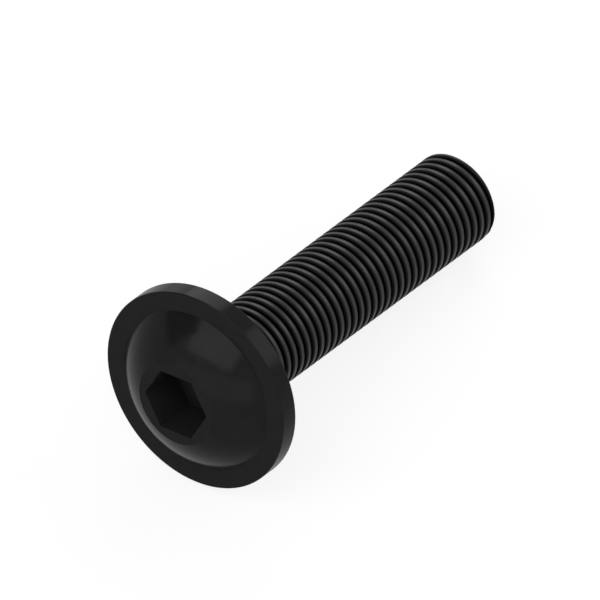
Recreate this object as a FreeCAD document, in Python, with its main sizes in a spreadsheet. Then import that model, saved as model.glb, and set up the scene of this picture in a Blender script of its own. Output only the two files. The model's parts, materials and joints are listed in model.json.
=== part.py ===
"""Flanged button head screw with a hexagon socket, M6 by 25, lying at rest.

Millimetres. The screw is modelled about its own Z axis: the flange's underside
is at Z = 0, the head is below it and the shank above it. The finished screw is
then laid down. It rests on the edge of its flange and on the edge of its tip,
with its head towards -Y, and the origin is on the floor under the middle of its
box.
"""

import FreeCAD, Part
import math
import os

import Sketcher

Vector = FreeCAD.Vector

doc = FreeCAD.newDocument("FlangedScrew")

# Driving sizes, in millimetres, and one angle in degrees
sheet = doc.addObject("Spreadsheet::Sheet", "Sizes")
sizes = {
    "thread_diameter": 6.0,
    "shank_length": 25.26,
    "tip_chamfer": 0.2,
    "neck_fillet": 0.25,
    "flange_diameter": 13.34,
    "flange_thickness": 1.29,
    "dome_diameter": 10.8,
    "dome_height": 1.98,
    "crown_diameter": 5.5,
    "socket_across_flats": 4.0,
    "socket_depth": 3.0,
    "socket_turn": 53.6,
    "floor_cone_diameter": 3.4,
    "floor_cone_depth": 0.4,
}
for row, (name, value) in enumerate(sizes.items(), start=1):
    sheet.set(f"A{row}", name)
    sheet.set(f"B{row}", str(value))
    sheet.setAlias(f"B{row}", name)
doc.recompute()

# What several features share, worked out from the sheet
HEAD_HEIGHT = "(Sizes.flange_thickness + Sizes.dome_height)"
THREAD_RADIUS = "(Sizes.thread_diameter / 2)"
FLANGE_RADIUS = "(Sizes.flange_diameter / 2)"

# A sketch names its own axes and its own centre by these numbers
ACROSS = -1
UPRIGHT = -2
START, END, CENTRE = 1, 2, 3
ORIGIN = (ACROSS, START)

# Two sizes closer than this, in millimetres, are the same
SAME = 1e-6


def own_plane(body, role):
    """One of the three base planes of a body."""
    return next(plane for plane in body.Origin.OriginFeatures if plane.Role == role)


def sketch_on(body, role, name):
    """An empty sketch of a body, flat on one of its base planes."""
    sketch = body.newObject("Sketcher::SketchObject", name)
    sketch.AttachmentSupport = (own_plane(body, role), [""])
    sketch.MapMode = "FlatFace"
    return sketch


def lock(sketch, kind, *where):
    """A constraint that has no size, such as a coincidence."""
    sketch.addConstraint(Sketcher.Constraint(kind, *where))


def bind(sketch, kind, *where, start, to):
    """A dimension of a sketch, tied to the sheet."""
    index = sketch.addConstraint(Sketcher.Constraint(kind, *where, start))
    sketch.setExpression(f"Constraints[{index}]", to)


def closed_loop(sketch, curves):
    """Joins each curve's end to the next one's start. A curve is (index, its start, its end)."""
    for (index, _, last), (following, first, _) in zip(curves, curves[1:] + curves[:1]):
        lock(sketch, "Coincident", index, last, following, first)


def line(sketch, first, last):
    """A straight edge of a sketch between two points."""
    return sketch.addGeometry(Part.LineSegment(Vector(*first, 0), Vector(*last, 0)), False)


def round_edge(feature, radius, height):
    """The name of the circular edge of this radius, at this height on the screw's axis."""
    for number, edge in enumerate(feature.Shape.Edges, start=1):
        if not isinstance(edge.Curve, Part.Circle):
            continue
        same_radius = abs(edge.Curve.Radius - radius) < SAME
        same_height = abs(edge.Curve.Center.z - height) < SAME
        if same_radius and same_height:
            return f"Edge{number}"
    raise ValueError(f"{feature.Name} has no circle of radius {radius} at {height}")


def head(body):
    """The upset head: the flange's flat collar and the spherical dome with its flat crown."""
    sketch = sketch_on(body, "XZ_Plane", "HeadProfile")
    flange = sheet.flange_diameter / 2
    base = sheet.dome_diameter / 2
    crown = sheet.crown_diameter / 2
    shoulder = -sheet.flange_thickness
    top = shoulder - sheet.dome_height

    # The dome is part of a sphere, so its arc has its centre on the screw's axis
    rise = sheet.dome_height
    reach = (base**2 - crown**2 - rise**2) / (2 * rise)
    radius = math.hypot(base, reach)
    middle = Vector(0, shoulder + reach, 0)
    dome_circle = Part.Circle(middle, Vector(0, 0, 1), radius)
    crown_angle = math.atan2(top - middle.y, crown)
    base_angle = math.atan2(shoulder - middle.y, base)

    underside = line(sketch, (0, 0), (flange, 0))
    rim = line(sketch, (flange, 0), (flange, shoulder))
    face = line(sketch, (flange, shoulder), (base, shoulder))
    dome = sketch.addGeometry(Part.ArcOfCircle(dome_circle, crown_angle, base_angle), False)
    flat = line(sketch, (crown, top), (0, top))
    axis = line(sketch, (0, top), (0, 0))

    closed_loop(
        sketch,
        [
            (underside, START, END),
            (rim, START, END),
            (face, START, END),
            (dome, END, START),
            (flat, START, END),
            (axis, START, END),
        ],
    )
    lock(sketch, "Coincident", underside, START, *ORIGIN)
    for level in (underside, face, flat):
        lock(sketch, "Horizontal", level)
    for upright in (rim, axis):
        lock(sketch, "Vertical", upright)
    lock(sketch, "PointOnObject", dome, CENTRE, UPRIGHT)
    bind(sketch, "DistanceX", *ORIGIN, rim, START, start=flange, to=FLANGE_RADIUS)
    bind(sketch, "DistanceX", *ORIGIN, dome, END, start=base, to="Sizes.dome_diameter / 2")
    bind(sketch, "DistanceX", *ORIGIN, dome, START, start=crown, to="Sizes.crown_diameter / 2")
    bind(sketch, "Distance", rim, start=-shoulder, to="Sizes.flange_thickness")
    bind(sketch, "DistanceY", dome, START, dome, END, start=rise, to="Sizes.dome_height")

    feature = body.newObject("PartDesign::Revolution", "Head")
    feature.Profile = sketch
    feature.ReferenceAxis = (sketch, ["V_Axis"])
    feature.Angle = 360.0
    doc.recompute()
    return feature


def shank(body):
    """The shank, at the full diameter over the thread's crests."""
    sketch = sketch_on(body, "XY_Plane", "ShankCircle")
    radius = sheet.thread_diameter / 2
    outline = sketch.addGeometry(Part.Circle(Vector(0, 0, 0), Vector(0, 0, 1), radius), False)
    lock(sketch, "Coincident", outline, CENTRE, *ORIGIN)
    bind(sketch, "Radius", outline, start=radius, to=THREAD_RADIUS)

    feature = body.newObject("PartDesign::Pad", "Shank")
    feature.Profile = sketch
    feature.setExpression("Length", "Sizes.shank_length")
    doc.recompute()
    return feature


def neck(body, base):
    """The small fillet where the shank leaves the flange's underside."""
    feature = body.newObject("PartDesign::Fillet", "NeckFillet")
    feature.Base = (base, [round_edge(base, sheet.thread_diameter / 2, 0)])
    feature.setExpression("Radius", "Sizes.neck_fillet")
    doc.recompute()
    return feature


def tip(body, base):
    """The chamfer that leads the tip into its nut."""
    feature = body.newObject("PartDesign::Chamfer", "TipChamfer")
    feature.Base = (base, [round_edge(base, sheet.thread_diameter / 2, sheet.shank_length)])
    feature.setExpression("Size", "Sizes.tip_chamfer")
    doc.recompute()
    return feature


def socket(body):
    """The hexagon socket, sunk from the crown towards the shank."""
    sketch = sketch_on(body, "XY_Plane", "SocketHexagon")
    sketch.setExpression("AttachmentOffset.Base.z", f"-{HEAD_HEIGHT}")
    radius = sheet.socket_across_flats / 2 / math.cos(math.radians(30))
    corners = []
    for sixth in range(6):
        angle = math.radians(sheet.socket_turn + 60 * sixth)
        corners.append((radius * math.cos(angle), radius * math.sin(angle)))

    sides = [line(sketch, a, b) for a, b in zip(corners, corners[1:] + corners[:1])]
    closed_loop(sketch, [(side, START, END) for side in sides])
    for side in sides[1:]:
        lock(sketch, "Equal", sides[0], side)
    ring = sketch.addGeometry(Part.Circle(Vector(0, 0, 0), Vector(0, 0, 1), radius), True)
    lock(sketch, "Coincident", ring, CENTRE, *ORIGIN)
    for side in sides:
        lock(sketch, "PointOnObject", side, START, ring)
    spoke = sketch.addGeometry(Part.LineSegment(Vector(0, 0, 0), Vector(*corners[0], 0)), True)
    lock(sketch, "Coincident", spoke, START, *ORIGIN)
    lock(sketch, "Coincident", spoke, END, sides[0], START)
    turn = math.radians(sheet.socket_turn)
    bind(sketch, "Angle", spoke, start=turn, to="Sizes.socket_turn * 1 deg")
    across = "Sizes.socket_across_flats / 2 / cos(30 deg)"
    bind(sketch, "Radius", ring, start=radius, to=across)

    feature = body.newObject("PartDesign::Pocket", "Socket")
    feature.Profile = sketch
    feature.Reversed = True
    feature.setExpression("Length", "Sizes.socket_depth")
    doc.recompute()
    return feature


def socket_floor(body):
    """The shallow cone that the punch's point leaves in the socket's floor."""
    sketch = sketch_on(body, "XZ_Plane", "FloorCone")
    sketch.setExpression("AttachmentOffset.Base.y", f"Sizes.socket_depth - {HEAD_HEIGHT}")
    radius = sheet.floor_cone_diameter / 2
    depth = sheet.floor_cone_depth
    mouth = line(sketch, (0, 0), (radius, 0))
    flank = line(sketch, (radius, 0), (0, depth))
    axis = line(sketch, (0, depth), (0, 0))
    closed_loop(sketch, [(mouth, START, END), (flank, START, END), (axis, START, END)])
    lock(sketch, "Coincident", mouth, START, *ORIGIN)
    lock(sketch, "Horizontal", mouth)
    lock(sketch, "Vertical", axis)
    bind(sketch, "Distance", mouth, start=radius, to="Sizes.floor_cone_diameter / 2")
    bind(sketch, "Distance", axis, start=depth, to="Sizes.floor_cone_depth")

    feature = body.newObject("PartDesign::Groove", "SocketFloor")
    feature.Profile = sketch
    feature.ReferenceAxis = (sketch, ["V_Axis"])
    feature.Angle = 360.0
    doc.recompute()
    return feature


def lay_down(body):
    """Tilts the screw until the edges of its flange and of its tip both meet the floor."""
    step = f"({FLANGE_RADIUS} - {THREAD_RADIUS})"
    run = "(Sizes.shank_length - Sizes.tip_chamfer)"
    tilt = f"atan({step} / {run})"
    along = f"(Sizes.shank_length - {HEAD_HEIGHT})"
    ends = f"({THREAD_RADIUS} - Sizes.tip_chamfer - Sizes.crown_diameter / 2)"
    body.Placement = FreeCAD.Placement(Vector(0, 0, 0), FreeCAD.Rotation(Vector(-1, 0, 0), 90))
    body.setExpression("Placement.Rotation.Angle", f"90 deg + {tilt}")
    body.setExpression("Placement.Base.y", f"-({along} * cos({tilt}) + {ends} * sin({tilt})) / 2")
    body.setExpression("Placement.Base.z", f"{FLANGE_RADIUS} * cos({tilt})")
    doc.recompute()


screw = doc.addObject("PartDesign::Body", "Screw")
screw.Label = "flanged_screw"

head(screw)
blank = shank(screw)
filleted = neck(screw, blank)
turned = tip(screw, filleted)
solid_volume = turned.Shape.Volume
punched = socket(screw)
finished = socket_floor(screw)
if not finished.Shape.Volume < punched.Shape.Volume < solid_volume:
    raise ValueError("the socket removed no metal")
lay_down(screw)

for item in doc.Objects:
    if "Invalid" in item.State or "Error" in item.State:
        raise ValueError(f"{item.Label} failed: {item.State}")
if screw.Shape.isNull() or not screw.Shape.isValid():
    raise ValueError(f"{screw.Label} has no valid shape")

os.makedirs("parts", exist_ok=True)
screw.Shape.exportStep(f"parts/{screw.Label}.step")
box = screw.Shape.BoundBox
print(f"{screw.Label}: {screw.Shape.Volume:.1f} mm3, {len(screw.Shape.Solids)} solid")
print(f"box {box.XLength:.3f} by {box.YLength:.3f} by {box.ZLength:.3f} mm")
print(f"from {box.YMin:.3f} to {box.YMax:.3f} in Y, {box.ZMin:.4f} to {box.ZMax:.3f} in Z")
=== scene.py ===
# %% [markdown]
# # A flanged button head screw, M6 by 25, in black oxide
# The real screw is one piece of steel. Its head and flange are struck cold in dies,
# a punch forms the hexagon socket, the thread is rolled between flat dies, and the
# whole is blackened in a hot oxide bath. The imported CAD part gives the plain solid
# and its place. This lesson dresses it: a true rolled thread, a smooth struck head,
# the black finish, and a small white studio.

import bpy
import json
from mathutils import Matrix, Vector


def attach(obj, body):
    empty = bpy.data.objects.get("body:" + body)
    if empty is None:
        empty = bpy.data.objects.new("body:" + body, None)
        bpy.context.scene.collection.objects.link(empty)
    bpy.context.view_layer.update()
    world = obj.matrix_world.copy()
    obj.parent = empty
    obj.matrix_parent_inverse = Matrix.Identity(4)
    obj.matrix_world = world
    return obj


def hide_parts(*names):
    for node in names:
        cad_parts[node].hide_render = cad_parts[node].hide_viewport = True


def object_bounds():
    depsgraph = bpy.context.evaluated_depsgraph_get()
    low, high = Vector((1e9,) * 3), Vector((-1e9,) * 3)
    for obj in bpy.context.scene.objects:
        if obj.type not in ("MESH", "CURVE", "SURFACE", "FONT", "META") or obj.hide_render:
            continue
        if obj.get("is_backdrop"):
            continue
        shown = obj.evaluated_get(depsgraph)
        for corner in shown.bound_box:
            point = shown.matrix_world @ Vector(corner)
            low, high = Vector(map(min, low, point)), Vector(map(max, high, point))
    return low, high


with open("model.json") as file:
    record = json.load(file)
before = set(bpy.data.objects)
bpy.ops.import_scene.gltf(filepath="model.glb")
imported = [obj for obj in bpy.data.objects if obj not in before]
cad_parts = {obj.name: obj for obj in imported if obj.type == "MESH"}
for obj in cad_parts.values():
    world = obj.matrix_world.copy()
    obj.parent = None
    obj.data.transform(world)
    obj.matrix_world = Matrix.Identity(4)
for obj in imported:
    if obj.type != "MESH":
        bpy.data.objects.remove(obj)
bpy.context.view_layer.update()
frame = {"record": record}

# %% [markdown]
# ## Where the screw lies
# The screw rests on the edge of its flange and the edge of its tip, so its axis dips
# towards the tip. The record's mounts already say where the bearing face and the shank
# are, and reading them keeps this script and the solid in one place. Everything is
# drawn upright about Z, flange underside at zero and shank upwards, then laid down by
# one matrix that goes into the mesh itself.

# %% The lying frame, from the record's mounts
import bmesh
import bpy
import json
import math
from mathutils import Matrix, Vector

MM = 0.001

mounts = {mount["name"]: mount for mount in frame["record"]["mounts"]}
bearing = mounts["bearing_face"]
along = Vector(bearing["axis"]).normalized()
across = Vector((1, 0, 0))
lying = Matrix((across, along.cross(across), along)).transposed().to_4x4()
lying.translation = Vector(bearing["pos_m"])
dip = math.atan2(-along.z, along.y)
print(f"the axis dips {math.degrees(dip):.2f} degrees towards the tip")

# %% [markdown]
# ## Sizes
# Millimetres and degrees, as on a drawing. The shank's radius comes from the mount that
# a nut or a plate would use. The pitch is the one that the photograph shows, a little
# finer than the 0.75 mm of a fine M6 thread. The last groove's place is read from the
# photograph too: how far its root is from the flange, at one angle round the shank.

# %% Sizes in millimetres
SHANK_RADIUS = mounts["threaded_shank"]["dims"]["r_mm"]
SHANK_LENGTH = 25.26
TIP_CHAMFER = 0.2
NECK_FILLET = 0.25
FLANGE_RADIUS = 13.34 / 2
FLANGE_THICKNESS = 1.29
DOME_RADIUS = 10.8 / 2
DOME_HEIGHT = 1.98
CROWN_RADIUS = 5.5 / 2
SOCKET_ACROSS_FLATS = 4.0
SOCKET_DEPTH = 3.0
SOCKET_TURN = 53.6
CONE_RADIUS = 3.4 / 2
CONE_DEPTH = 0.4
PITCH = 0.6746
GROOVE_DEPTH = 0.2
RUN_OUT = 0.9
LAST_GROOVE = 24.78
GROOVE_SEEN_AT = -54.23
HEAD_HEIGHT = FLANGE_THICKNESS + DOME_HEIGHT
print(f"head {HEAD_HEIGHT:.2f} mm high, whole screw {HEAD_HEIGHT + SHANK_LENGTH:.2f} mm long")

# %% Points closer than this, in millimetres, are one
WELD = 0.002

# %% [markdown]
# ## One count for every ring
# The head and the thread are made apart and welded at the neck, so both use the same
# number of points round the axis, and both start at a corner of the hexagon socket.
# A multiple of six puts a point on each of its corners.

# %% Points round the axis
AROUND = 96
first_corner = math.radians(SOCKET_TURN)
step_angle = 2 * math.pi / AROUND
print(f"{AROUND} points a ring, first at {math.degrees(first_corner):.1f} degrees")

# %% [markdown]
# ## A helper for node trees
# Both the thread and the finish are node trees. One small function adds a node, sets
# its options and fills or links its inputs, so that each tree reads as a list. An input
# may be a plain value, an output, or a whole node, whose first live output is taken.
# A Mix node's inputs go by number, because its floats and its colours share their
# names: 0 is the share of the second, 2 and 3 are the floats, 6 and 7 the colours.

# %% Add a node
MATH = "ShaderNodeMath"
MAP = "ShaderNodeMapRange"
MIX = "ShaderNodeMix"


def add(tree, kind, inputs=None, **settings):
    """Adds a node. inputs pairs an input's name or number with what goes into it."""
    node = tree.nodes.new(kind)
    for name, value in settings.items():
        setattr(node, name, value)
    for name, value in (inputs or {}).items():
        if isinstance(value, bpy.types.Node):
            value = next(output for output in value.outputs if output.enabled)
        if isinstance(value, bpy.types.NodeSocket):
            tree.links.new(value, node.inputs[name])
        else:
            node.inputs[name].default_value = value
    return node


# %% [markdown]
# ## The thread, in Geometry Nodes
# A rolled thread is one groove pressed round and round the shank. It could be cut with
# a swept tool, or drawn as a ring and repeated, but rings never advance, and a nut
# would not run on them. Here a flat grid stands for the unrolled skin: one pitch wide
# and as many turns long. Each point is wound round the axis and climbs as it goes, so
# that the far edge of one turn lands on the near edge of the next. There are more turns
# than the shank has: points past either end are pushed back onto it, and welding them
# leaves one clean ring there.

# %% The tree's named inputs
# The finish is only named here, for the tree to set, and its nodes come later
finish = bpy.data.materials.new("black_oxide_on_rolled_steel")
finish.use_nodes = True
turns_covered = math.ceil(SHANK_LENGTH / PITCH) + 1
thread_sizes = {
    "Radius": SHANK_RADIUS * MM,
    "Pitch": PITCH * MM,
    "Depth": GROOVE_DEPTH * MM,
    "Crest share": 0.45,
    "Root share": 0.125,
    "Neck": NECK_FILLET * MM,
    "Run-out": RUN_OUT * MM,
    "Length": SHANK_LENGTH * MM,
    "Chamfer": TIP_CHAMFER * MM,
    "Last groove": LAST_GROOVE * MM,
    "First angle": first_corner,
    "Turns from groove": (first_corner - math.radians(GROOVE_SEEN_AT)) / (2 * math.pi),
    "Turns": float(turns_covered),
    "Steps a turn": float(AROUND),
    "Steps a pitch": 16.0,
}
thread = bpy.data.node_groups.new("Rolled thread", "GeometryNodeTree")
for name in thread_sizes:
    thread.interface.new_socket(name, in_out="INPUT", socket_type="NodeSocketFloat")
thread.interface.new_socket("Finish", in_out="INPUT", socket_type="NodeSocketMaterial")
thread.interface.new_socket("Skin", in_out="OUTPUT", socket_type="NodeSocketGeometry")
given = add(thread, "NodeGroupInput").outputs
print(len(thread_sizes), "sizes go into the thread's tree, which covers", turns_covered, "turns")

# %% The unrolled skin: turns along its X, one pitch along its Y
rows = add(thread, MATH, {0: given["Turns"], 1: given["Steps a turn"], 2: 1}, operation="MULTIPLY_ADD")
columns = add(thread, MATH, {0: given["Steps a pitch"], 1: 1}, operation="ADD")
sides = {"Size X": given["Turns"], "Size Y": 1, "Vertices X": rows, "Vertices Y": columns}
skin = add(thread, "GeometryNodeMeshGrid", sides)
on_grid = add(thread, "ShaderNodeSeparateXYZ", {0: add(thread, "GeometryNodeInputPosition")}).outputs
turn = add(thread, MATH, {0: given["Turns"], 1: 0.5, 2: on_grid["X"]}, operation="MULTIPLY_ADD")
pitch_share = add(thread, MATH, {0: on_grid["Y"], 1: 0.5}, operation="ADD")
print(turns_covered * AROUND, "steps along the unrolled skin")

# %% [markdown]
# The groove that ends at the tip fixes the height of every other. Counting back from
# it by whole turns puts a column of the grid exactly on the middle of each root and of
# each crest, and on both corners of the groove's floor, so no floor is cut across. A
# crest's corner falls between two columns, and comes out bevelled by 0.02 mm.

# %% How high each point is
wound = add(thread, MATH, {0: turn, 1: given["Turns from groove"]}, operation="ADD")
short_of_end = add(thread, MATH, {0: wound, 1: given["Turns"]}, operation="SUBTRACT")
with_share = add(thread, MATH, {0: short_of_end, 1: pitch_share}, operation="ADD")
from_last = add(thread, MATH, {0: with_share, 1: 1}, operation="ADD")
climb = {0: from_last, 1: given["Pitch"], 2: given["Last groove"]}
climbed = add(thread, MATH, climb, operation="MULTIPLY_ADD")
past_neck = add(thread, MATH, {0: climbed, 1: given["Neck"]}, operation="MAXIMUM")
height = add(thread, MATH, {0: past_neck, 1: given["Length"]}, operation="MINIMUM")
print(f"each turn climbs {PITCH} mm, and the last groove's root is {LAST_GROOVE} mm up the shank")

# %% Points beside an end or the chamfer's edge move onto it
# A reach of just over half a step leaves no column without a point on the edge
JUST_OVER_HALF = 0.51
chamfer_edge = add(thread, MATH, {0: given["Length"], 1: given["Chamfer"]}, operation="SUBTRACT")
step = add(thread, MATH, {0: given["Pitch"], 1: given["Steps a pitch"]}, operation="DIVIDE")
reach = add(thread, MATH, {0: step, 1: JUST_OVER_HALF}, operation="MULTIPLY")
for edge_height in (given["Neck"], chamfer_edge, given["Length"]):
    beside = add(thread, MATH, {0: height, 1: edge_height, 2: reach}, operation="COMPARE")
    height = add(thread, MIX, {0: beside, 2: height, 3: edge_height}, data_type="FLOAT")

# %% [markdown]
# The profile is read from where a point has ended up, not from its column, so a point
# that moved still lies on the true surface. The distance from the nearest root runs
# from nought to half a pitch and back, and one map turns it into the groove's flat
# root, straight flank and flat crest. The groove fades out at the neck, where the dies
# stop.

# %% The groove's profile
from_groove = add(thread, MATH, {0: height, 1: given["Last groove"]}, operation="SUBTRACT")
in_pitches = add(thread, MATH, {0: from_groove, 1: given["Pitch"]}, operation="DIVIDE")
off_helix = add(thread, MATH, {0: in_pitches, 1: wound}, operation="SUBTRACT")
from_root = add(thread, MATH, {0: off_helix, 1: 0.5}, operation="PINGPONG")
root_edge = add(thread, MATH, {0: given["Root share"], 1: 0.5}, operation="MULTIPLY")
crest_edge = add(thread, MATH, {0: given["Crest share"], 1: -0.5, 2: 0.5}, operation="MULTIPLY_ADD")
flank = {"Value": from_root, "From Min": root_edge, "From Max": crest_edge}
pressed = add(thread, MAP, {**flank, "To Min": given["Depth"], "To Max": 0})
full_from = add(thread, MATH, {0: given["Neck"], 1: given["Run-out"]}, operation="ADD")
fade = {"Value": height, "From Min": given["Neck"], "From Max": full_from}
formed = add(thread, MAP, fade, interpolation_type="SMOOTHSTEP")
sunk = add(thread, MATH, {0: pressed, 1: formed}, operation="MULTIPLY")
flats = [PITCH * thread_sizes[part] for part in ("Root share", "Crest share")]
print("flat root {:.3f} mm wide, flat crest {:.3f} mm".format(*flats))

# %% The radius: the thread's, or the chamfer's where that is less
# The chamfer is at 45 degrees, so it loses as much radius as it climbs
threaded = add(thread, MATH, {0: given["Radius"], 1: sunk}, operation="SUBTRACT")
past_edge = add(thread, MATH, {0: height, 1: chamfer_edge}, operation="SUBTRACT")
chamfered = add(thread, MATH, {0: given["Radius"], 1: past_edge}, operation="SUBTRACT")
radius = add(thread, MATH, {0: threaded, 1: chamfered}, operation="MINIMUM")

# %% The skin wound round the axis, with what the finish needs to know
# ridge is 0 at a root and 1 at a crest, rolled is 0 at the neck and 1 on the full thread
angle = add(thread, MATH, {0: turn, 1: 2 * math.pi, 2: given["First angle"]}, operation="MULTIPLY_ADD")
cosine = add(thread, MATH, {0: angle}, operation="COSINE")
sine = add(thread, MATH, {0: angle}, operation="SINE")
wound_x = add(thread, MATH, {0: cosine, 1: radius}, operation="MULTIPLY")
wound_y = add(thread, MATH, {0: sine, 1: radius}, operation="MULTIPLY")
wound_place = add(thread, "ShaderNodeCombineXYZ", {0: wound_x, 1: wound_y, 2: height})
ridge = add(thread, MATH, {0: from_root, 1: 2}, operation="MULTIPLY")
for name, value in {"ridge": ridge, "rolled": formed}.items():
    kept = {"Geometry": skin, "Name": name, "Value": value}
    skin = add(thread, "GeometryNodeStoreNamedAttribute", kept)
skin = add(thread, "GeometryNodeSetPosition", {"Geometry": skin, "Position": wound_place})
skin = add(thread, "GeometryNodeMergeByDistance", {"Geometry": skin, "Distance": WELD * MM})
skin = add(thread, "GeometryNodeRealizeInstances", {"Geometry": skin})
skin = add(thread, "GeometryNodeSetMaterial", {"Geometry": skin, "Material": given["Finish"]})
add(thread, "NodeGroupOutput", {"Skin": skin})
print(len(thread.nodes), "nodes in the thread's tree")

# %% [markdown]
# ## From the tree to a plain mesh
# The tree runs once, on an empty mesh, and its result is copied out as an ordinary mesh.
# The inputs are set by their identifiers before anything is evaluated.


# %% Run a tree and keep its mesh
def grown(tree, settings):
    """The plain mesh that a Geometry Nodes tree makes from these inputs."""
    holder = bpy.data.objects.new(tree.name, bpy.data.meshes.new(tree.name))
    bpy.context.scene.collection.objects.link(holder)
    modifier = holder.modifiers.new(tree.name, "NODES")
    modifier.node_group = tree
    for socket in tree.interface.items_tree:
        if socket.in_out == "INPUT" and socket.name in settings:
            modifier[socket.identifier] = settings[socket.name]
    evaluated = holder.evaluated_get(bpy.context.evaluated_depsgraph_get())
    mesh = bpy.data.meshes.new_from_object(evaluated)
    holder.modifiers.remove(modifier)
    bpy.data.objects.remove(holder)
    return mesh


# %% The thread's mesh
# Its edges that turn by more degrees than this are shaded sharp
THREAD_SHARP = 30
thread_mesh = grown(thread, {**thread_sizes, "Finish": finish})
thread_mesh.set_sharp_from_angle(angle=math.radians(THREAD_SHARP))
print(f"thread: {len(thread_mesh.vertices)} points, {len(thread_mesh.polygons)} faces")

# %% [markdown]
# ## The head, ring by ring
# The head is a shape of revolution with a hexagon punched into it. It could be lathed
# from a profile and the socket cut with a Boolean, but that leaves long thin faces round
# the mouth. Here each ring is placed in turn from the neck to the bottom of the socket.
# A ring may be round or hexagonal, and bridging the two gives the crown and the socket
# floor even faces. Edges that are broken on the real screw get a small round, and a ring
# close beside each keeps the flat faces flat when the shading is smoothed.


# %% Rings, round or hexagonal
def ring_point(i, radius, height):
    """Point number i of a ring about the axis."""
    a = first_corner + step_angle * i
    return Vector((radius * math.cos(a), radius * math.sin(a), height))


def round_ring(radius, height):
    """Points of a circle about the axis."""
    return [ring_point(i, radius, height) for i in range(AROUND)]


def hexagon_ring(across_flats, height):
    """Points of a hexagon whose first corner is at the first corner angle."""
    side = math.radians(60)
    points = []
    for i in range(AROUND):
        from_middle = (step_angle * i) % side - side / 2
        points.append(ring_point(i, across_flats / 2 / math.cos(from_middle), height))
    return points


def arc(centre, radius, start, end, steps):
    """Radius and height pairs along an arc. Angles in degrees, 0 outward, 90 to the tip."""
    pairs = []
    for i in range(steps + 1):
        a = math.radians(start + (end - start) * i / steps)
        pairs.append((centre[0] + radius * math.cos(a), centre[1] + radius * math.sin(a)))
    return pairs


# %% Small rounds on the edges, in millimetres, and the steps along each curve
# A ring is laid this far beside an edge to keep the face next to it flat
SUPPORT = 0.03
RIM_ROUND = 0.07
MOUTH_ROUND = 0.05
FILLET_STEPS = 6
RIM_STEPS = 5
DOME_STEPS = 18
MOUTH_STEPS = 4

# %% The outside of the head, from the neck to the flange's face
outside = []
outside += arc((SHANK_RADIUS + NECK_FILLET, NECK_FILLET), NECK_FILLET, 180, 270, FILLET_STEPS)
outside += [(SHANK_RADIUS + NECK_FILLET + SUPPORT, 0)]
outside += [(FLANGE_RADIUS - RIM_ROUND - SUPPORT, 0)]
outside += arc((FLANGE_RADIUS - RIM_ROUND, -RIM_ROUND), RIM_ROUND, 90, 0, RIM_STEPS)
outside += [(FLANGE_RADIUS, -RIM_ROUND - SUPPORT)]
outside += [(FLANGE_RADIUS, SUPPORT + RIM_ROUND - FLANGE_THICKNESS)]
outside += arc((FLANGE_RADIUS - RIM_ROUND, RIM_ROUND - FLANGE_THICKNESS), RIM_ROUND, 0, -90, RIM_STEPS)
outside += [(FLANGE_RADIUS - RIM_ROUND - SUPPORT, -FLANGE_THICKNESS)]
print(len(outside), "rings up to the flange's face")

# %% The dome is part of a ball
# The ball's centre follows from the foot, the crown and the height between them
foot_less_crown = DOME_RADIUS ** 2 - CROWN_RADIUS ** 2
ball_behind = (foot_less_crown - DOME_HEIGHT ** 2) / (2 * DOME_HEIGHT)
ball_radius = math.hypot(DOME_RADIUS, ball_behind)
ball_height = ball_behind - FLANGE_THICKNESS
foot_angle = -math.degrees(math.acos(DOME_RADIUS / ball_radius))
crown_angle = -math.degrees(math.acos(CROWN_RADIUS / ball_radius))
outside += [(DOME_RADIUS + SUPPORT, -FLANGE_THICKNESS)]
outside += arc((0, ball_height), ball_radius, foot_angle, crown_angle, DOME_STEPS)
outside += [(CROWN_RADIUS - SUPPORT, -HEAD_HEIGHT)]
print(f"the dome's ball: radius {ball_radius:.3f} mm, centre {ball_height:.3f} mm up the shank")

# %% The socket, from its mouth to the point of its floor
socket_floor = SOCKET_DEPTH - HEAD_HEIGHT
rings = [round_ring(*pair) for pair in outside]
mouth = SOCKET_ACROSS_FLATS + 2 * MOUTH_ROUND
rings += [hexagon_ring(mouth + 2 * SUPPORT, -HEAD_HEIGHT)]
for i in range(MOUTH_STEPS + 1):
    a = math.radians(90 * i / MOUTH_STEPS)
    across_flats = mouth - 2 * MOUTH_ROUND * math.sin(a)
    rings += [hexagon_ring(across_flats, MOUTH_ROUND * (1 - math.cos(a)) - HEAD_HEIGHT)]
rings += [hexagon_ring(SOCKET_ACROSS_FLATS, MOUTH_ROUND + SUPPORT - HEAD_HEIGHT)]
first_punched = (len(rings) - 1) * AROUND
rings += [hexagon_ring(SOCKET_ACROSS_FLATS, socket_floor)]
rings += [round_ring(CONE_RADIUS + SUPPORT, socket_floor)]
rings += [round_ring(CONE_RADIUS, socket_floor)]
for cone_ring in (CONE_RADIUS - SUPPORT, CONE_RADIUS / 2, SUPPORT):
    rings += [round_ring(cone_ring, socket_floor + CONE_DEPTH * (1 - cone_ring / CONE_RADIUS))]
print(len(rings), "rings in the head")


# %% [markdown]
# ## Bridging the rings and welding the two halves
# Rings become faces, the last ring closes on a point, and the same is done at the tip,
# where the thread's last ring closes on a flat end. The doubles at the neck are merged
# in between, and in the end every edge has to have exactly two faces.


# %% Rings to faces
def bridge(bm, lower, upper):
    """Faces between two rings of points."""
    for i in range(len(lower)):
        j = (i + 1) % len(lower)
        bm.faces.new((lower[i], lower[j], upper[j], upper[i]))


def cap(bm, ring, point):
    """Faces from a ring to one point on the axis."""
    for i in range(len(ring)):
        bm.faces.new((ring[i], ring[(i + 1) % len(ring)], point))


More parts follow.
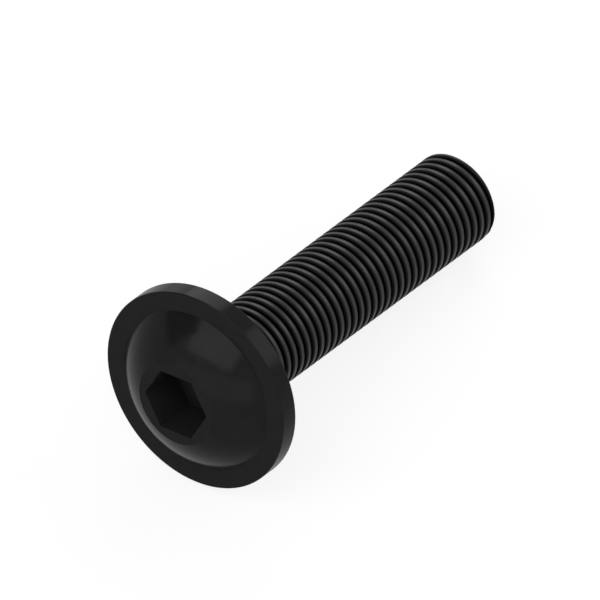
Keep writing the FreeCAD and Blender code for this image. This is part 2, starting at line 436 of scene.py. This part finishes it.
# %% The head's mesh
# Its edges that turn by more degrees than this are shaded sharp, and its attribute
# tells the finish which points the punch has formed
HEAD_SHARP = 20
head = bmesh.new()
head_rings = [[head.verts.new(point * MM) for point in ring] for ring in rings]
for lower, upper in zip(head_rings, head_rings[1:]):
    bridge(head, lower, upper)
cap(head, head_rings[-1], head.verts.new((0, 0, (socket_floor + CONE_DEPTH) * MM)))
head_mesh = bpy.data.meshes.new("head")
head.to_mesh(head_mesh)
head.free()
head_mesh.set_sharp_from_angle(angle=math.radians(HEAD_SHARP))
inside = [float(i >= first_punched) for i in range(len(head_mesh.vertices))]
head_mesh.attributes.new("punched", "FLOAT", "POINT").data.foreach_set("value", inside)
print("head faces:", len(head_mesh.polygons))

# %% One skin, open only at the tip
skin_mesh = bpy.data.meshes.new("flanged_screw_finished")
whole = bmesh.new()
whole.from_mesh(thread_mesh)
whole.from_mesh(head_mesh)
bmesh.ops.remove_doubles(whole, verts=whole.verts, dist=WELD * MM)
open_edges = [edge for edge in whole.edges if len(edge.link_faces) == 1]
print(len(open_edges), "open edges, all at the tip")

# %% The flat end of the tip
# The thread's last ring is not round, because the groove runs out through it, so two
# smaller rings of its shape lead to the middle, the first close enough to keep it flat
END_SHARES = (0.985, 0.5)
edge_points = {point for edge in open_edges for point in edge.verts}
last_ring = sorted(edge_points, key=lambda point: math.atan2(point.co.y, point.co.x))
end_rings = [last_ring]
for part in END_SHARES:
    places = [(point.co.x * part, point.co.y * part, point.co.z) for point in last_ring]
    end_rings.append([whole.verts.new(place) for place in places])
for outer, inner in zip(end_rings, end_rings[1:]):
    bridge(whole, outer, inner)
cap(whole, end_rings[-1], whole.verts.new((0, 0, SHANK_LENGTH * MM)))
print(len(last_ring), "points round the flat end")

# %% The closed skin, laid down
# All is shaded smooth but the marked edges and the edge of the flat end
for edge in open_edges:
    edge.smooth = False
for polygon in whole.faces:
    polygon.smooth = True
bmesh.ops.recalc_face_normals(whole, faces=whole.faces)
whole.transform(lying)
whole.to_mesh(skin_mesh)
faulty = sum(len(edge.link_faces) != 2 for edge in whole.edges)
volume = whole.calc_volume() / MM ** 3
print(f"{len(whole.faces)} faces, {faulty} edges without two faces, {volume:.1f} cubic mm")
whole.free()

# %% The finished screw takes the place of the plain solid
skin_mesh.materials.clear()
skin_mesh.materials.append(finish)
screw = bpy.data.objects.new("flanged_screw_finished", skin_mesh)
bpy.context.scene.collection.objects.link(screw)
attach(screw, "root")
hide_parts("flanged_screw")
print(screw.name, "takes the place of flanged_screw")

# %% [markdown]
# ## Black oxide
# Hot blackening turns the steel's own skin to a micron of magnetite. It is as smooth as
# the steel under it, so a formed head comes out satin and gives back soft, wide
# reflections. To the eye it is partly a dark metal and partly a dark paint, so it has a
# share of each, and the clear sheen of a paint is turned off. Across each turn of the
# thread the colour runs from near black in the groove, which is painted shade, to a
# lighter grey on the crest, which is painted light. The socket is painted a shade
# lighter than the head, as painted light against the shade inside it. The colours are
# written as hex, as a paint chart would, and one function makes them linear.


# %% Hex to linear
def linear(code):
    """An sRGB hex colour as linear red, green, blue and 1."""
    parts = [int(code[i : i + 2], 16) / 255 for i in (1, 3, 5)]
    return [c / 12.92 if c <= 0.04045 else ((c + 0.055) / 1.055) ** 2.4 for c in parts] + [1.0]


# %% The finish in numbers
# Colours: the oxide's own, the crest's painted light, the groove's painted shade and
# the socket's painted light, then how far up from the root to the crest the painted
# light starts and is full
OXIDE = linear("#232323")
CREST_PAINTED_LIGHT = linear("#404040")
GROOVE_PAINTED_SHADE = linear("#020202")
SOCKET_PAINTED_LIGHT = linear("#313131")
PAINTED_LIGHT_STARTS = 0.2
PAINTED_LIGHT_FULL = 0.95

# Metal's share, and the roughness of the thread and of the smoothest and dullest head
METAL = 0.43
ROLLED_ROUGHNESS = 0.3
SMOOTHEST = 0.15
DULLEST = 0.19

# The bath leaves faint blotches about a millimetre wide, a little darker or lighter and
# a little duller. The noise that draws them lies mostly between the two values given
BLOTCH = 1.2
NOISE_LOW = 0.3
NOISE_HIGH = 0.7
DARKEST = 0.94
LIGHTEST = 1.06

# The oxide's crystals are about a thousandth of a millimetre, too fine to show, so the
# grain is drawn more than a hundred times as coarse, but less than a thousandth high
GRAIN = 0.15
GRAIN_HEIGHT = 0.0004
print("oxide, linear:", [round(part, 4) for part in OXIDE])

# %% The screw's own coordinates, and what its points were told
coat = finish.node_tree
coat.nodes.clear()
upright = lying.inverted()
upright_place = add(
    coat,
    "ShaderNodeMapping",
    {
        "Vector": add(coat, "ShaderNodeTexCoord").outputs["Object"],
        "Location": upright.translation,
        "Rotation": upright.to_euler(),
    },
)
rolled = add(coat, "ShaderNodeAttribute", attribute_name="rolled").outputs["Fac"]
ridged = add(coat, "ShaderNodeAttribute", attribute_name="ridge").outputs["Fac"]
punched = add(coat, "ShaderNodeAttribute", attribute_name="punched").outputs["Fac"]

# %% Colour
# From root to crest the thread's colour runs from painted shade to painted light
thread_shading_range = {"Value": ridged, "From Min": PAINTED_LIGHT_STARTS, "From Max": PAINTED_LIGHT_FULL}
painted_thread_shading = add(coat, MAP, thread_shading_range, interpolation_type="SMOOTHSTEP")
thread_colour = add(coat, MIX, {0: painted_thread_shading, 6: GROOVE_PAINTED_SHADE, 7: CREST_PAINTED_LIGHT}, data_type="RGBA")
outer_colour = add(coat, MIX, {0: rolled, 6: OXIDE, 7: thread_colour}, data_type="RGBA")
# The socket's lighter colour is painted light against the shade inside it
even_colour = add(coat, MIX, {0: punched, 6: outer_colour, 7: SOCKET_PAINTED_LIGHT}, data_type="RGBA")
blotches = {"Vector": upright_place, "Scale": 1 / (BLOTCH * MM), "Detail": 4, "Roughness": 0.6}
blotch = add(coat, "ShaderNodeTexNoise", blotches)
uneven = {"Value": blotch, "From Min": NOISE_LOW, "From Max": NOISE_HIGH}
shade = add(coat, MAP, {**uneven, "To Min": DARKEST, "To Max": LIGHTEST})
colour = add(coat, MIX, {0: 1, 6: even_colour, 7: shade}, data_type="RGBA", blend_type="MULTIPLY")

# %% Sheen and grain
head_roughness = add(coat, MAP, {**uneven, "To Min": SMOOTHEST, "To Max": DULLEST})
roughness = add(coat, MIX, {0: rolled, 2: head_roughness, 3: ROLLED_ROUGHNESS}, data_type="FLOAT")
# Metal's share follows the same ramp from groove to crest, and is nought in the groove
metal_by_ridge = add(coat, MATH, {0: painted_thread_shading, 1: METAL}, operation="MULTIPLY")
metal = add(coat, MIX, {0: rolled, 2: METAL, 3: metal_by_ridge}, data_type="FLOAT")
grains = {"Vector": upright_place, "Scale": 1 / (GRAIN * MM), "Detail": 3}
grain = add(coat, "ShaderNodeTexNoise", grains)
bump = add(coat, "ShaderNodeBump", {"Height": grain, "Distance": GRAIN_HEIGHT * MM})
steel = add(
    coat,
    "ShaderNodeBsdfPrincipled",
    {
        "Base Color": colour,
        "Metallic": metal,
        "Roughness": roughness,
        "Specular IOR Level": 0.0,
        "Normal": bump,
    },
)
add(coat, "ShaderNodeOutputMaterial", {"Surface": steel})
print(len(coat.nodes), "nodes in the finish")

# %% [markdown]
# ## A small white studio
# The floor is white card in a white room, and it lights the black steel from below,
# which is why the rim and the sides of the shank are pale. The camera and the steel's
# mirror share see plain white all round, and only the matt share sees the room as dim
# as it is, so the lamps can shape the steel while the picture's ground stays white. The
# card glows for most of what is seen and is lit for the rest, which leaves the screw a
# faint shadow to lie on.

# %% Which rays see plain white
WHITE = linear("#FFFFFF")


def background_seen(tree):
    """One for rays from the camera, off a sheen and through glass, nought for the rest."""
    ray = add(tree, "ShaderNodeLightPath").outputs
    seen = add(tree, MATH, {0: ray["Is Camera Ray"], 1: ray["Is Glossy Ray"]}, operation="MAXIMUM")
    return add(tree, MATH, {0: seen, 1: ray["Is Transmission Ray"]}, operation="MAXIMUM")


# %% A flat piece of the studio
def sheet_of_card(name, half_wide, half_tall, facing, material):
    """A rectangle of card that is no part of the screw, laid where facing says."""
    signs = ((-1, -1), (1, -1), (1, 1), (-1, 1))
    corners = [facing @ Vector((x * half_wide, y * half_tall, 0)) for x, y in signs]
    mesh = bpy.data.meshes.new(name)
    mesh.from_pydata(corners, [], [(0, 1, 2, 3)])
    mesh.materials.append(material)
    sheet = bpy.data.objects.new(name, mesh)
    bpy.context.scene.collection.objects.link(sheet)
    sheet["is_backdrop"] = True
    return sheet


# %% The floor
# The card is never picked as a lamp, so that its glow stays out of the matt share.
# Here and below, the studio's sizes are in metres
FLOOR_HALF = 0.3
PAPER = linear("#F8F8F8")
GLOW = 1.07
GLOW_SHARE = 0.8
card = bpy.data.materials.new("white_card")
card.use_nodes = True
card.node_tree.nodes.clear()
card.cycles.emission_sampling = "NONE"
seen_glow = {0: background_seen(card.node_tree), 1: GLOW_SHARE}
glow_share = add(card.node_tree, MATH, seen_glow, operation="MULTIPLY")
matt_paper = add(card.node_tree, "ShaderNodeBsdfDiffuse", {"Color": PAPER})
glowing = add(card.node_tree, "ShaderNodeEmission", {"Color": WHITE, "Strength": GLOW})
paper = add(card.node_tree, "ShaderNodeMixShader", {0: glow_share, 1: matt_paper, 2: glowing})
add(card.node_tree, "ShaderNodeOutputMaterial", {"Surface": paper})
sheet_of_card("floor", FLOOR_HALF, FLOOR_HALF, Matrix.Identity(4), card)
print(f"the floor is {2 * FLOOR_HALF:.1f} m square")

# %% The room
DIM = 0.41
world = bpy.data.worlds.new("room")
bpy.context.scene.world = world
world.use_nodes = True
world.node_tree.nodes.clear()
lit_dim = add(world.node_tree, "ShaderNodeBackground", {"Color": WHITE, "Strength": DIM})
seen_white = add(world.node_tree, "ShaderNodeBackground", {"Color": WHITE, "Strength": 1})
room_parts = {0: background_seen(world.node_tree), 1: lit_dim, 2: seen_white}
room = add(world.node_tree, "ShaderNodeMixShader", room_parts)
add(world.node_tree, "ShaderNodeOutputWorld", {"Surface": room})

# %% [markdown]
# ## Softboxes
# Lit panels stand round the screw, all equally far away. Each is described as the
# screw sees it: where it is, how many degrees wide and tall it looks, and how bright
# its face is. The big one in front and above makes the bright patch on the dome, and
# the two strong ones behind light the top of the shank.

# %% A softbox
REACH = 0.6
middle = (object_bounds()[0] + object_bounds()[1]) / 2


def direction(azimuth, elevation):
    """Unit vector from the screw. Azimuth 0 is towards -Y and 90 towards +X."""
    a = math.radians(azimuth)
    e = math.radians(elevation)
    return Vector((math.sin(a) * math.cos(e), -math.cos(a) * math.cos(e), math.sin(e)))


def softbox(name, azimuth, elevation, wide, tall, level):
    """A lit panel that looks wide by tall degrees from the screw. level is its brightness."""
    lamp = bpy.data.lights.new(name, "AREA")
    lamp.shape = "RECTANGLE"
    lamp.size = 2 * REACH * math.tan(math.radians(wide / 2))
    lamp.size_y = 2 * REACH * math.tan(math.radians(tall / 2))
    lamp.energy = level * math.pi * lamp.size * lamp.size_y
    stand = bpy.data.objects.new(name, lamp)
    away = direction(azimuth, elevation)
    stand.rotation_euler = away.to_track_quat("Z", "Y").to_euler()
    stand.location = middle + away * REACH
    bpy.context.scene.collection.objects.link(stand)


# %% The six softboxes
# Name, azimuth, elevation, width and height in degrees, and brightness
softbox("front_top", -1, 52, 52, 37, 1.87)
softbox("front_low", 10, 12, 80, 24, 0.54)
softbox("right_high", 80, 50, 40, 30, 0.4)
softbox("back_right", 148, 26, 24, 28, 2.0)
softbox("back_left", -148, 28, 26, 26, 2.87)
softbox("left_low", -128, 5, 30, 16, 0.55)
print(len(bpy.data.lights), "softboxes")

# %% [markdown]
# ## A grey card
# On a shiny black thing the eye sees mostly what it mirrors. The dome has a dark place
# left of its bright patch, and a lamp can only add light there. A photographer stands a
# grey card beside the lamps instead, where the steel mirrors it and the camera doesn't
# see it.

# %% The grey card to the left
# Where it is and how wide and tall it looks, in degrees
CARD_AZIMUTH = -72
CARD_ELEVATION = 36
CARD_WIDE = 50
CARD_TALL = 34
CARD_AWAY = 0.5
GREY = linear("#949494")
grey = bpy.data.materials.new("grey_card")
grey.use_nodes = True
grey.node_tree.nodes.clear()
matt_grey = add(grey.node_tree, "ShaderNodeBsdfDiffuse", {"Color": GREY})
add(grey.node_tree, "ShaderNodeOutputMaterial", {"Surface": matt_grey})
to_card = direction(CARD_AZIMUTH, CARD_ELEVATION)
facing = to_card.to_track_quat("Z", "Y").to_matrix().to_4x4()
facing.translation = middle + to_card * CARD_AWAY
half_wide = CARD_AWAY * math.tan(math.radians(CARD_WIDE / 2))
half_tall = CARD_AWAY * math.tan(math.radians(CARD_TALL / 2))
sheet_of_card("grey_card", half_wide, half_tall, facing, grey).visible_camera = False
print(f"the grey card is {2 * half_wide:.2f} m wide and {2 * half_tall:.2f} m tall")

# %% [markdown]
# ## The camera
# The photograph has no perspective: edges that are parallel on the screw are parallel
# in it. So the camera is orthographic, and its scale is the width of the picture. Where
# it looks from was found from the ellipses of the flange, the dome and the tip. The
# picture's middle is so many millimetres right and up from the middle of the flange's
# face.

# %% The camera
# Its direction in degrees, its aim and the picture's width in millimetres, the rest in
# metres
AZIMUTH = 37.236
ELEVATION = 43.994
AIM_RIGHT = 6.3633
AIM_UP = 5.4809
PICTURE_WIDE = 36.41
CAMERA_AWAY = 0.2
SEES_TO = 5.0
back = direction(AZIMUTH, ELEVATION)
right = Vector((math.cos(math.radians(AZIMUTH)), math.sin(math.radians(AZIMUTH)), 0))
up = back.cross(right)
flange_face = lying @ Vector((0, 0, -FLANGE_THICKNESS * MM))
aim = flange_face + right * AIM_RIGHT * MM + up * AIM_UP * MM
lens = bpy.data.cameras.new("camera")
lens.type = "ORTHO"
lens.ortho_scale = PICTURE_WIDE * MM
lens.clip_end = SEES_TO
camera = bpy.data.objects.new("camera", lens)
camera.rotation_euler = Matrix((right, up, back)).transposed().to_euler()
camera.location = aim + back * CAMERA_AWAY
bpy.context.scene.collection.objects.link(camera)
bpy.context.scene.camera = camera
print(f"the picture is {PICTURE_WIDE} mm wide")

# %% Colours as they are
bpy.context.scene.view_settings.view_transform = "Standard"
print("view transform:", bpy.context.scene.view_settings.view_transform)
